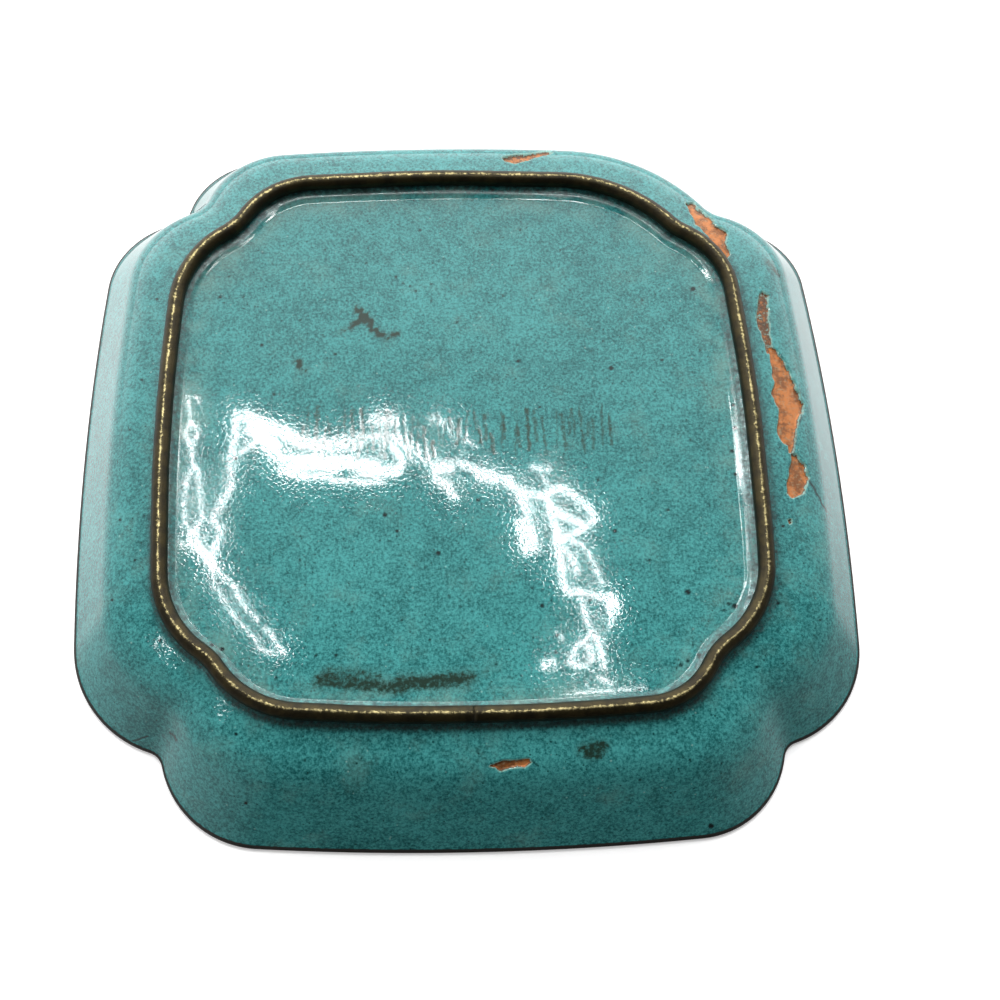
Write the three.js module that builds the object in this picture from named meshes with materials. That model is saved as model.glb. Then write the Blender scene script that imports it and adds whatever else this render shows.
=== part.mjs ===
// A small square enamelled copper tray with notched corners, lying face down on its rim.
// Millimetres, +Z up. The origin is the middle of the rim plane. The foot wire is on top.
import * as THREE from 'three';

// Rim: the outline that touches the table.
const rimHalfX = 60;
const rimHalfY = 60;
const rimSideRadius = 430;
const rimNotchFillet = 3;

// Foot: the centreline of the wire, set slightly off the middle, as it was soldered by hand.
const footHalfX = 43.8;
const footHalfY = 44;
const footSideRadius = 336;
const footNotchFillet = 10;
const footShift = new THREE.Vector2(-1.1, 0.1);
const footTurn = THREE.MathUtils.degToRad(-0.1);
const wireDiameter = 2.45;
const wireSides = 12;

// The four corners, hammered by hand, so no two are alike. A lobe is the round end of a side,
// and a notch is measured along the diagonal from where the two sides would meet.
const corners = [
  { place: [1, 1], rimLobes: [12.5, 34], rimNotch: 21, footLobes: [13, 24], footNotch: 12.8 },
  { place: [-1, 1], rimLobes: [14, 13.5], rimNotch: 18.8, footLobes: [15.5, 13], footNotch: 12.9 },
  { place: [-1, -1], rimLobes: [18, 15.5], rimNotch: 20.2, footLobes: [15, 15], footNotch: 11.8 },
  { place: [1, -1], rimLobes: [16.5, 14.5], rimNotch: 19.6, footLobes: [15, 11], footNotch: 12.2 },
];

// Profile of the wall, from the rim up.
const seatHeight = 14.3;
const wallThickness = 1.8;
const edgeHeight = 0.75;
const edgeWidth = 0.9;
const edgeBreak = 0.15;
const lipWidth = 1.3;
const lipSlope = THREE.MathUtils.degToRad(28);
const wallSlope = THREE.MathUtils.degToRad(61);
const plateauSlope = THREE.MathUtils.degToRad(9);
const shoulderRadius = 3.6;

// Base inside the wire: a flat panel, a little sunk, with a rising margin that meets the wire.
const seatMargin = 0.3;
const marginWidth = 3.6;
const panelSink = 0.35;

// Facets along one eighth of an outline, and round the shoulder.
const sideSteps = 3;
const lobeSteps = 6;
const notchSteps = 4;
const shoulderSteps = 4;

// Enamel and wire finishes.
const turquoiseEnamel = new THREE.MeshStandardMaterial({ color: 0x5fa8a0, roughness: 0.18, metalness: 0 });
const brassWire = new THREE.MeshStandardMaterial({ color: 0x5a4526, roughness: 0.4, metalness: 1 });

const wireRadius = wireDiameter / 2;
const seatHalf = wireRadius + seatMargin;

// Points on an arc about a centre, from one point to another, the last one left out.
function arcPoints(centre, from, to, steps) {
  const radius = centre.distanceTo(from);
  const start = from.clone().sub(centre).angle();
  const end = to.clone().sub(centre).angle();
  let turn = end - start;
  if (turn > Math.PI) turn -= 2 * Math.PI;
  if (turn < -Math.PI) turn += 2 * Math.PI;
  const points = [];
  for (let i = 0; i < steps; i += 1) {
    const angle = start + (turn * i) / steps;
    points.push(new THREE.Vector2(Math.cos(angle), Math.sin(angle)).multiplyScalar(radius).add(centre));
  }
  return points;
}

// Half a corner, from the middle of the side at x = half to the bottom of the notch:
// the bowed side, the lobe that ends it and half of the notch, each tangent to the next.
function halfCorner(half, sideRadius, lobe, notch, fillet) {
  const sideCentre = new THREE.Vector2(half - sideRadius, 0);
  const between = notch.clone().sub(sideCentre);
  const distance = between.length();
  const toSide = sideRadius - lobe;
  const toNotch = lobe + fillet;
  const along = (distance ** 2 + toSide ** 2 - toNotch ** 2) / (2 * distance);
  const across = Math.sqrt(Math.max(toSide ** 2 - along ** 2, 0));
  const ahead = between.clone().normalize();
  const lobeCentre = sideCentre.clone()
    .addScaledVector(ahead, along)
    .add(new THREE.Vector2(ahead.y, -ahead.x).multiplyScalar(across));
  const sideEnd = lobeCentre.clone().sub(sideCentre).setLength(sideRadius).add(sideCentre);
  const lobeEnd = lobeCentre.clone().sub(notch).setLength(fillet).add(notch);
  const bottom = notch.clone().sub(new THREE.Vector2(1, 1).setLength(fillet));
  return [
    ...arcPoints(sideCentre, new THREE.Vector2(half, 0), sideEnd, sideSteps),
    ...arcPoints(lobeCentre, sideEnd, lobeEnd, lobeSteps),
    ...arcPoints(notch, lobeEnd, bottom, notchSteps),
    bottom,
  ];
}

// The closed outline at a share of the way from the rim (0) to the foot (1), moved inwards
// by an offset that keeps it parallel. Every outline has the same number of points.
function outline(share, offset) {
  const mix = (rim, foot) => THREE.MathUtils.lerp(rim, foot, share);
  const halfX = mix(rimHalfX, footHalfX) - offset;
  const halfY = mix(rimHalfY, footHalfY) - offset;
  const sideRadius = mix(rimSideRadius, footSideRadius) - offset;
  const fillet = mix(rimNotchFillet, footNotchFillet) + offset;
  const diagonal = new THREE.Vector2(1, 1).normalize();
  const points = [];
  for (const corner of corners) {
    const [signX, signY] = corner.place;
    const depth = mix(corner.rimNotch, corner.footNotch) - offset * (Math.SQRT2 - 1);
    const notch = new THREE.Vector2(halfX, halfY).addScaledVector(diagonal, fillet - depth);
    const lobes = corner.rimLobes.map((rim, i) => mix(rim, corner.footLobes[i]) - offset);
    const xHalf = halfCorner(halfX, sideRadius, lobes[0], notch, fillet);
    const mirrored = new THREE.Vector2(notch.y, notch.x);
    const yHalf = halfCorner(halfY, sideRadius, lobes[1], mirrored, fillet)
      .map((point) => new THREE.Vector2(point.y, point.x));
    const turning = signX * signY > 0;
    const first = turning ? xHalf : yHalf;
    const second = turning ? yHalf : xHalf;
    const whole = [...first, ...second.reverse().slice(1, -1)];
    for (const point of whole) points.push(new THREE.Vector2(point.x * signX, point.y * signY));
  }
  const settle = share ** 3;
  const middle = new THREE.Vector2();
  return points.map((point) => point
    .rotateAround(middle, footTurn * settle)
    .addScaledVector(footShift, settle));
}

// A horizontal ring of vertices at a height.
function ring(share, offset, height) {
  return outline(share, offset).map((point) => new THREE.Vector3(point.x, point.y, height));
}

// A closed body through a row of rings. With looped, the last ring joins the first.
// Otherwise each end is closed by a fan about its own middle.
function loft(rings, looped) {
  const count = rings[0].length;
  const vertices = rings.flat();
  const faces = [];
  const spans = looped ? rings.length : rings.length - 1;
  for (let level = 0; level < spans; level += 1) {
    const lower = level * count;
    const upper = ((level + 1) % rings.length) * count;
    for (let i = 0; i < count; i += 1) {
      const next = (i + 1) % count;
      faces.push(lower + i, lower + next, upper + next, lower + i, upper + next, upper + i);
    }
  }
  if (!looped) {
    const ends = [{ start: 0, step: 1 }, { start: (rings.length - 1) * count, step: -1 }];
    for (const { start, step } of ends) {
      const middle = new THREE.Vector3();
      for (let i = 0; i < count; i += 1) middle.addScaledVector(vertices[start + i], 1 / count);
      const hub = vertices.push(middle) - 1;
      for (let i = 0; i < count; i += 1) {
        const pair = [start + i, start + ((i + 1) % count)];
        if (step < 0) faces.push(hub, pair[0], pair[1]);
        else faces.push(hub, pair[1], pair[0]);
      }
    }
  }
  const geometry = new THREE.BufferGeometry();
  geometry.setAttribute('position', new THREE.Float32BufferAttribute(vertices.flatMap((v) => v.toArray()), 3));
  geometry.setIndex(faces);
  geometry.computeVertexNormals();
  return geometry;
}

// The outside of the wall as points: run in from the rim, height and slope of the surface.
function outerProfile() {
  const seatRun = rimHalfX - footHalfX - seatHalf;
  const lipTop = edgeHeight + lipWidth * Math.tan(lipSlope);
  const wallRise = Math.tan(wallSlope);
  const plateauRise = Math.tan(plateauSlope);
  const cornerRun = (seatHeight - plateauRise * seatRun - lipTop + wallRise * lipWidth)
    / (wallRise - plateauRise);
  const cornerHeight = lipTop + wallRise * (cornerRun - lipWidth);
  const bend = wallSlope - plateauSlope;
  const tangent = shoulderRadius * Math.tan(bend / 2);
  const centreRun = cornerRun + tangent * Math.cos(plateauSlope) + shoulderRadius * Math.sin(plateauSlope);
  const centreHeight = cornerHeight + tangent * Math.sin(plateauSlope) - shoulderRadius * Math.cos(plateauSlope);
  const lipBend = (lipSlope + wallSlope) / 2;
  const points = [{ run: lipWidth, height: lipTop, slope: lipBend }];
  for (let i = 0; i <= shoulderSteps; i += 1) {
    const slope = wallSlope - (bend * i) / shoulderSteps;
    points.push({
      run: centreRun - shoulderRadius * Math.sin(slope),
      height: centreHeight + shoulderRadius * Math.cos(slope),
      slope,
    });
  }
  return points;
}

// The tray: from the inside of the well, round the bare edge of the rim and up over the underside.
function trayBody() {
  const wholeRun = rimHalfX - footHalfX;
  const profile = outerProfile();
  const floorHeight = seatHeight - wallThickness;
  const inside = profile.map(({ run, height, slope }) => ring(
    run / wholeRun,
    wallThickness * Math.sin(slope),
    height - wallThickness * Math.cos(slope),
  )).reverse();
  const edge = [
    ring(0, edgeWidth, 0),
    ring(0, edgeBreak, 0),
    ring(0, 0, edgeBreak),
    ring(0, 0, edgeHeight),
  ];
  const outside = profile.map(({ run, height }) => ring(run / wholeRun, 0, height));
  const base = [
    ring(1, -seatHalf, seatHeight),
    ring(1, seatHalf, seatHeight),
    ring(1, seatHalf + marginWidth, seatHeight - panelSink),
  ];
  const rings = [ring(1, -seatHalf, floorHeight), ...inside, ...edge, ...outside, ...base];
  return loft(rings, false);
}

// The foot: a round wire swept along the foot outline, with a narrow flat below and above.
function footWire() {
  const rings = [];
  for (let i = 0; i < wireSides; i += 1) {
    const angle = ((i + 0.5) / wireSides) * 2 * Math.PI;
    const flatRadius = wireRadius / Math.cos(Math.PI / wireSides);
    const height = seatHeight + wireRadius + flatRadius * Math.cos(angle);
    rings.push(ring(1, -flatRadius * Math.sin(angle), height));
  }
  return loft(rings.reverse(), true);
}

function piece(name, geometry, material) {
  const mesh = new THREE.Mesh(geometry, material);
  mesh.name = name;
  return mesh;
}

const group = new THREE.Group();
group.add(piece('tray_body', trayBody(), turquoiseEnamel));
group.add(piece('foot_wire', footWire(), brassWire));

export default group;
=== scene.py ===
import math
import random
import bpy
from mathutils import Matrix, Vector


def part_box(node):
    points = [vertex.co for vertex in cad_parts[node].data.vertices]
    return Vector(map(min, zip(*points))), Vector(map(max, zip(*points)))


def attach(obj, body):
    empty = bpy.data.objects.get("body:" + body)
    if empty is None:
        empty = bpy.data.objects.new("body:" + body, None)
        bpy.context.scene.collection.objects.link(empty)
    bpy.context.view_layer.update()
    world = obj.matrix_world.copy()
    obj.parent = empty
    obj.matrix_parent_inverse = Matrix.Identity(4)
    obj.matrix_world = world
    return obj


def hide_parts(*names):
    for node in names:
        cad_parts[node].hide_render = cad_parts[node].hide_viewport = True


bl_info = {
    "name": "Notched Enamel Tray",
    "version": (1, 0, 0),
    "blender": (4, 5, 0),
    "location": "View3D > Sidebar > Tray",
    "description": "A small square enamelled copper tray, lying face down with its wire foot on top",
    "category": "Add Mesh",
}

import bmesh
import bpy
import numpy as np
from mathutils import Matrix, Vector, noise

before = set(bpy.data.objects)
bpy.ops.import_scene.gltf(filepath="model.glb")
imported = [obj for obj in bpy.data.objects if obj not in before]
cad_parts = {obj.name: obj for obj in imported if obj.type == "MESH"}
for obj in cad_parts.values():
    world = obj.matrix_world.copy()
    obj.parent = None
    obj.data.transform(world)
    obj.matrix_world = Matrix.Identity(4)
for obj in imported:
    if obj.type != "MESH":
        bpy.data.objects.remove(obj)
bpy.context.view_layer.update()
BODY_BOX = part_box("tray_body")
WIRE_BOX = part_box("foot_wire")
MM = 0.001
PHOTO = 1000

# How many points half a side of an outline has on its bow, its lobe and half of its notch.
SIDE_POINTS = 24
LOBE_POINTS = 40
NOTCH_POINTS = 16
# How many rings of the grid each part of the underside has, from the middle outwards.
PANEL_RINGS = 44
MARGIN_RINGS = 9
SEAT_RINGS = 6
PLATEAU_RINGS = 8
SHOULDER_RINGS = 7
WALL_RINGS = 11
LIP_BEND_RINGS = 6
LIP_RINGS = 3
EDGE_ROUND_RINGS = 4
# The bare edge has the first rings that turn_rim adds, and the inside of the well the others.
EDGE_RINGS = 5
INSIDE_RINGS = 5
EDGE_FINISH = 1
FACE_FINISH = 2
# How wide the plain square grid in the middle of the base would be, as a share of the base.
CORE_SHARE = 0.9
# Cells nearer to a mark than so many pixels are cut finer.
REFINE_REACH = 2.5
REFINE_CUTS = 3
# The least cosine between a surface and the line of sight at which the camera sees it.
GRAZING = 0.03
WIRE_STEPS = 620
WIRE_SIDES = 20
# How far the wire strays from its path, how uneven its thickness is and how much thinner it is
# than the solid's wire, as shares of its radius.
WIRE_WANDER = 0.12 * MM
WIRE_UNEVEN = 0.03
WIRE_THINNER = 0.004
# The wire's joint, as a share of the front side, and how far each of its ends stands back.
JOINT_SHARE = 0.506
JOINT_GAP = 0.03 * MM
# The inside of the lip stays this far above the plane that the rim rests on.
LIP_CLEARANCE = 0.12 * MM
# The flat seat is this much wider than the wire on each side, and the enamel climbs as far up it.
SEAT_MARGIN = 0.3 * MM
# How narrow the margin inside the foot gets at the front left, as a share of its width.
MARGIN_LEAST = 0.3
# How far each tint reaches from where it is strongest: tarnish from the rim, grime and painted shade
# from the seat and more of it in front, where it paints the wire's shadow, soil and painted shade from
# the foot outwards and the pale film from the foot inwards.
TARNISH_REACH = 0.8 * MM
GRIME_AND_SHADE_REACH = 1.2 * MM
FRONT_GRIME_AND_SHADOW = 1.6 * MM
SOIL_AND_SHADE_REACH = 2 * MM
FILM_REACH = 6 * MM
# The unevenness of the sheet: how many swells to a metre, and how high they are.
SWELLS = ((60, 0.02 * MM), (150, 0.004 * MM))
# The swells die out over this height above the edge, so that the rim stays flat.
SWELL_RISE = 3 * MM
STROKE_SINK = 0.004 * MM
# The loss at which the sheet starts to sink into a chip, and the loss from there to its bottom.
CHIP_START = 0.42
CHIP_FALL = 0.16

# The four corners, hammered by hand, in millimetres: which way each one points, its rim lobes
# beside X and beside Y, its rim notch, and the same for the foot.
CORNERS = (
    ((1, 1), (12.5, 34), 21, (13, 24), 12.8),
    ((-1, 1), (14, 13.5), 18.8, (15.5, 13), 12.9),
    ((-1, -1), (18, 15.5), 20.2, (15, 15), 11.8),
    ((1, -1), (16.5, 14.5), 19.6, (15, 11), 12.2),
)


def length_value(name, value, description):
    """A length that can be changed in the sidebar."""
    return bpy.props.FloatProperty(name=name, description=description, default=value, unit="LENGTH")


def angle_value(name, degrees, description):
    """An angle that can be changed in the sidebar."""
    return bpy.props.FloatProperty(
        name=name, description=description, default=math.radians(degrees), subtype="ANGLE")


def colour_value(name, value, description):
    """A colour that can be changed in the sidebar."""
    return bpy.props.FloatVectorProperty(
        name=name, description=description, default=value, subtype="COLOR", size=3, min=0, max=1)


class TraySizes(bpy.types.PropertyGroup):
    """The sizes that the tray and its foot are worked out from."""

    rim_half: length_value("Rim half width", BODY_BOX[1].x,
                           "Middle of the tray to the middle of a side")
    rim_side_radius: length_value("Rim side radius", 430 * MM,
                                  "Radius of the bow of each side at the rim")
    rim_notch_fillet: length_value("Rim notch fillet", 3 * MM, "Radius at the bottom of a rim notch")
    foot_half_x: length_value("Foot half width", 43.8 * MM,
                              "Middle of the foot ring to the middle of its wire, along X")
    foot_half_y: length_value("Foot half depth", 44 * MM,
                              "Middle of the foot ring to the middle of its wire, along Y")
    foot_side_radius: length_value("Foot side radius", 336 * MM,
                                   "Radius of the bow of each side of the foot")
    foot_notch_fillet: length_value("Foot notch fillet", 10 * MM,
                                    "Radius at the bottom of a foot notch")
    foot_shift_x: length_value("Foot shift X", -1.1 * MM,
                               "How far the foot sits off the middle along X")
    foot_shift_y: length_value("Foot shift Y", 0.1 * MM, "How far the foot sits off the middle along Y")
    foot_turn: angle_value("Foot turn", -0.1, "How far the foot ring is turned on the tray")
    wire_diameter: length_value("Wire diameter", WIRE_BOX[1].z - WIRE_BOX[0].z,
                                "Thickness of the foot wire")
    seat_height: length_value("Seat height", BODY_BOX[1].z, "Rim plane to the seat of the wire")
    wall_thickness: length_value("Wall thickness", 1.8 * MM, "Copper and both coats of enamel")
    enamel_thickness: length_value("Enamel thickness", 0.4 * MM,
                                   "The outer coat, lost where the copper shows")
    edge_height: length_value("Edge height", 0.75 * MM, "Height of the bare edge of the sheet")
    edge_width: length_value("Edge width", 0.9 * MM, "Width of the band that the rim rests on")
    lip_width: length_value("Lip width", 0.45 * MM, "Width of the lip outside the wall")
    lip_slope: angle_value("Lip slope", 20, "Slope of the lip")
    wall_slope: angle_value("Wall slope", 58.8, "Slope of the wall")
    plateau_slope: angle_value("Plateau slope", 9, "Slope of the underside outside the foot")
    lip_radius: length_value("Lip radius", 0.8 * MM, "Radius between the wall and the lip")
    edge_round: length_value("Edge rounding", 0.28 * MM, "Radius of the rubbed outer edge")
    shoulder_radius: length_value("Shoulder radius", 7 * MM, "Radius between the plateau and the wall")
    margin_width: length_value("Margin width", 1.7 * MM,
                               "Band inside the foot that rises to meet the wire")
    panel_sink: length_value("Panel sink", 0.35 * MM, "How far the base lies below the seat")


class TrayLooks(bpy.types.PropertyGroup):
    """The colours and textures of the finishes."""

    enamel_light: colour_value("Light enamel", (0.05, 0.262, 0.256),
                               "Pale flecks of the turquoise enamel")
    enamel_dark: colour_value("Dark enamel", (0.004, 0.066, 0.068),
                              "Deep patches of the turquoise enamel")
    copper: colour_value("Copper", (0.4, 0.135, 0.032), "Bare copper where the enamel has chipped off")
    # Soot also darkens the enamel beside the wire as painted shade.
    soot: colour_value("Soot", (0.0, 0.01, 0.01), "Pits, strokes and grime")
    wire: colour_value("Wire", (0.027, 0.02, 0.005), "Brown patina of the foot wire")
    # This colour lightens the top of the wire: rubbed brass and a painted highlight.
    wire_crown_worn_and_lit: colour_value("Worn wire", (0.32, 0.27, 0.13), "Rubbed crown of the foot wire")
    edge: colour_value("Bare edge", (0.016, 0.014, 0.012), "Tarnished copper edge of the rim")
    table: colour_value("Table", (0.9, 0.9, 0.9), "The plain pale floor")


class PhotoView(bpy.types.PropertyGroup):
    """The camera, fitted to the outlines of the rim and the foot."""

    focal: bpy.props.FloatProperty(
        name="Focal length in pixels", description="Focal length over pixel size",
        default=1288.5)
    centre_x: bpy.props.FloatProperty(
        name="Centre X", description="Pixel column of the lens axis", default=447.7, subtype="PIXEL")
    centre_y: bpy.props.FloatProperty(
        name="Centre Y", description="Pixel row of the lens axis", default=499.4, subtype="PIXEL")
    elevation: angle_value("Elevation", 66.94, "Height of the camera above the horizon")
    azimuth: angle_value("Azimuth", -4.95, "Turn of the camera about the tray")
    roll: angle_value("Roll", 3.79, "Turn of the camera about its own axis")
    distance: length_value("Distance", 203.2 * MM, "Camera to the point it looks at")
    target_x: length_value("Target X", -2.76 * MM, "The point it looks at, along X")
    target_y: length_value("Target Y", -5.73 * MM, "The point it looks at, along Y")


def sizes():
    """The sizes as they are set in the scene."""
    return bpy.context.scene.tray_sizes


def looks():
    """The colours as they are set in the scene."""
    return bpy.context.scene.tray_looks


class Eye:
    """The photo's camera: where it stands, its axes and the pixel that a point falls on."""

    def __init__(self, view):
        flat = math.cos(view.elevation)
        self.back = Vector((math.sin(view.azimuth) * flat, -math.cos(view.azimuth) * flat,
                            math.sin(view.elevation)))
        self.place = Vector((view.target_x, view.target_y, 0)) + self.back * view.distance
        level = (-self.back).cross(Vector((0, 0, 1))).normalized()
        upright = level.cross(-self.back)
        self.right = level * math.cos(view.roll) + upright * math.sin(view.roll)
        self.up = upright * math.cos(view.roll) - level * math.sin(view.roll)
        self.focal = view.focal
        self.centre = (view.centre_x, view.centre_y)

    def pixels(self, points):
        """Pixel columns and rows of an array of points."""
        away = points - np.array(self.place)
        depth = away @ np.array(-self.back)
        column = self.centre[0] + self.focal * (away @ np.array(self.right)) / depth
        row = self.centre[1] - self.focal * (away @ np.array(self.up)) / depth
        return np.stack((column, row), axis=-1)

    def mirrored(self, column, row, slope):
        """Where a lamp hangs that the tray mirrors at a pixel where it slopes outwards."""
        sight = self.ray(column, row)
        size = sizes()
        spot = self.place + sight * ((size.seat_height - self.place.z) / sight.z)
        outwards = Vector((spot.x, spot.y, 0)).normalized()
        normal = outwards * math.sin(slope) + Vector((0, 0, math.cos(slope)))
        bounced = sight - normal * (2 * sight.dot(normal))
        return spot + bounced * (LAMP_HEIGHT / bounced.z)

    def ray(self, column, row):
        """Direction from the camera through a pixel."""
        across = self.right * ((column - self.centre[0]) / self.focal)
        down = self.up * ((row - self.centre[1]) / self.focal)
        return (across - down - self.back).normalized()


def arc(centre, start, end, count):
    """Points on an arc about a centre, both ends included."""
    radius = np.hypot(*(start - centre))
    first = math.atan2(*(start - centre)[::-1])
    turn = (math.atan2(*(end - centre)[::-1]) - first + math.pi) % (2 * math.pi) - math.pi
    angle = first + turn * np.linspace(0, 1, count)
    return centre + radius * np.stack((np.cos(angle), np.sin(angle)), axis=-1)


def half_corner(half, side_radius, lobe, notch, fillet):
    """From the middle of the side at x = half to the bottom of the notch."""
    side = np.array((half - side_radius, 0.0))
    between = notch - side
    distance = np.hypot(*between)
    to_side = side_radius - lobe
    to_notch = lobe + fillet
    along = (distance ** 2 + to_side ** 2 - to_notch ** 2) / (2 * distance)
    across = math.sqrt(max(to_side ** 2 - along ** 2, 0))
    ahead = between / distance
    middle = side + ahead * along + np.array((ahead[1], -ahead[0])) * across
    side_end = side + (middle - side) * (side_radius / np.hypot(*(middle - side)))
    lobe_end = notch + (middle - notch) * (fillet / np.hypot(*(middle - notch)))
    bottom = notch - fillet / math.sqrt(2)
    return np.concatenate((
        arc(side, np.array((half, 0.0)), side_end, SIDE_POINTS),
        arc(middle, side_end, lobe_end, LOBE_POINTS)[1:],
        arc(notch, lobe_end, bottom, NOTCH_POINTS)[1:],
    ))


def side_curves(share, offset):
    """The four sides of an outline, each from notch to notch: right, back, left and front.
    The share runs from the rim (0) to the foot (1), and the offset moves it inwards."""
    size = sizes()

    def mix(rim, foot):
        return rim + (foot - rim) * share

    half = np.array((mix(size.rim_half, size.foot_half_x), mix(size.rim_half, size.foot_half_y)))
    half -= offset
    radius = mix(size.rim_side_radius, size.foot_side_radius) - offset
    fillet = mix(size.rim_notch_fillet, size.foot_notch_fillet) + offset
    halves = {}
    for place, rim_lobes, rim_notch, foot_lobes, foot_notch in CORNERS:
        depth = mix(rim_notch, foot_notch) * MM - offset * (math.sqrt(2) - 1)
        notch = half + (fillet - depth) / math.sqrt(2)
        for axis in (0, 1):
            lobe = mix(rim_lobes[axis], foot_lobes[axis]) * MM - offset
            hub = notch if axis == 0 else notch[::-1]
            line = half_corner(half[axis], radius, lobe, hub, fillet)
            line = line if axis == 0 else line[:, ::-1]
            halves[place, axis] = line * place
    order = (((1, -1), (1, 1), 0), ((1, 1), (-1, 1), 1), ((-1, 1), (-1, -1), 0), ((-1, -1), (1, -1), 1))
    settle = share ** 3
    turn = size.foot_turn * settle
    spin = np.array(((math.cos(turn), math.sin(turn)), (-math.sin(turn), math.cos(turn))))
    shift = np.array((size.foot_shift_x, size.foot_shift_y)) * settle
    curves = []
    for start, end, axis in order:
        whole = np.concatenate((halves[start, axis][::-1], halves[end, axis][1:]))
        curves.append(whole @ spin + shift)
    return curves


def along(curve, shares):
    """Points at shares of a curve's length."""
    step = np.hypot(*np.diff(curve, axis=0).T)
    length = np.concatenate(((0,), np.cumsum(step)))
    where = np.asarray(shares) * length[-1]
    return np.stack([np.interp(where, length, curve[:, k]) for k in (0, 1)], axis=-1)


def ring_points(share, offset, count):
    """A closed ring with a quarter of the points on each side, starting at the front right notch."""
    steps = np.arange(count // 4) / (count // 4)
    return np.concatenate([along(curve, steps) for curve in side_curves(share, offset)])


def smooth(value):
    """From 0 to 1, slow at both ends."""
    value = np.clip(value, 0, 1)
    return value * value * (3 - 2 * value)


def half_seat():
    """Half the width of the flat strip that the wire sits on."""
    return sizes().wire_diameter / 2 + SEAT_MARGIN


def whole_run():
    """How far in from the rim the middle of the wire is."""
    return sizes().rim_half - sizes().foot_half_x


def wall_profile(steps):
    """The outside from the lip up to the plateau: run in from the rim, height and slope."""
    size = sizes()
    seat_half = half_seat()
    seat_run = whole_run() - seat_half
    lip_top = size.edge_height + size.lip_width * math.tan(size.lip_slope)
    rise = math.tan(size.wall_slope)
    flat = math.tan(size.plateau_slope)
    corner_run = (size.seat_height - flat * seat_run - lip_top + rise * size.lip_width) / (rise - flat)
    corner_height = lip_top + rise * (corner_run - size.lip_width)
    bend = size.wall_slope - size.plateau_slope
    tangent = size.shoulder_radius * math.tan(bend / 2)
    centre_run = (corner_run + tangent * math.cos(size.plateau_slope)
                  + size.shoulder_radius * math.sin(size.plateau_slope))
    centre_height = (corner_height + tangent * math.sin(size.plateau_slope)
                     - size.shoulder_radius * math.cos(size.plateau_slope))
    shoulder = []
    for i in range(steps + 1):
        slope = size.wall_slope - bend * i / steps
        shoulder.append((centre_run - size.shoulder_radius * math.sin(slope),
                         centre_height + size.shoulder_radius * math.cos(slope), slope))
    return lip_top, shoulder, seat_run


def spaced(start, end, count):
    """Shares from start to end, the start left out."""
    return [start + (end - start) * (i + 1) / count for i in range(count)]


def underside_rings():
    """The underside from the middle out: share, offset, height and how much of the outline
    each ring takes. Inside the panel the rings shrink to the middle."""
    size = sizes()
    lip_top, shoulder, seat_run = wall_profile(SHOULDER_RINGS)
    seat_half = half_seat()
    whole = whole_run()
    panel = seat_half + size.margin_width
    rings = []
    for scale in [i / PANEL_RINGS for i in range(PANEL_RINGS + 1)]:
        rings.append((1, panel, size.seat_height - size.panel_sink, scale))
    for offset in spaced(panel, seat_half, MARGIN_RINGS):
        rise = float(smooth((panel - offset) / size.margin_width))
        rings.append((1, offset, size.seat_height - size.panel_sink * (1 - rise), 1))
    for offset in spaced(seat_half, -seat_half, SEAT_RINGS):
        near = math.cos(offset / seat_half * math.pi / 2)
        rings.append((1, offset, size.seat_height + SEAT_MARGIN * near, 1))
    end_run, end_height, _ = shoulder[-1]
    for part in spaced(0, 1, PLATEAU_RINGS):
        run = seat_run + (end_run - seat_run) * part
        height = size.seat_height + (end_height - size.seat_height) * part
        rings.append((run / whole, 0, height, 1))
    for run, height, _ in shoulder[-2::-1]:
        rings.append((run / whole, 0, height, 1))
    start_run, start_height, _ = shoulder[0]
    bend = size.wall_slope - size.lip_slope
    tangent = size.lip_radius * math.tan(bend / 2)
    wall_run = size.lip_width + tangent * math.cos(size.wall_slope)
    wall_height = lip_top + tangent * math.sin(size.wall_slope)
    for part in spaced(0, 1, WALL_RINGS):
        run = start_run + (wall_run - start_run) * part
        height = start_height + (wall_height - start_height) * part
        rings.append((run / whole, 0, height, 1))
    for part in spaced(0, 1, LIP_BEND_RINGS):
        slope = size.wall_slope - bend * part
        run = wall_run - size.lip_radius * (math.sin(size.wall_slope) - math.sin(slope))
        height = wall_height - size.lip_radius * (math.cos(slope) - math.cos(size.wall_slope))
        rings.append((run / whole, 0, height, 1))
    lip_run, lip_height = run, height
    edge_round = size.edge_round
    round_run = edge_round * (1 - math.sin(size.lip_slope))
    round_height = size.edge_height + round_run * math.tan(size.lip_slope)
    for part in spaced(0, 1, LIP_RINGS):
        run = lip_run + (round_run - lip_run) * part
        rings.append((run / whole, 0, lip_height + (round_height - lip_height) * part, 1))
    for part in spaced(0, 1, EDGE_ROUND_RINGS):
        slope = size.lip_slope + (math.pi / 2 - size.lip_slope) * part
        run = edge_round * (1 - math.sin(slope))
        height = round_height - edge_round * (math.cos(size.lip_slope) - math.cos(slope))
        rings.append((run / whole, 0, height, 1))
    return rings
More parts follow.
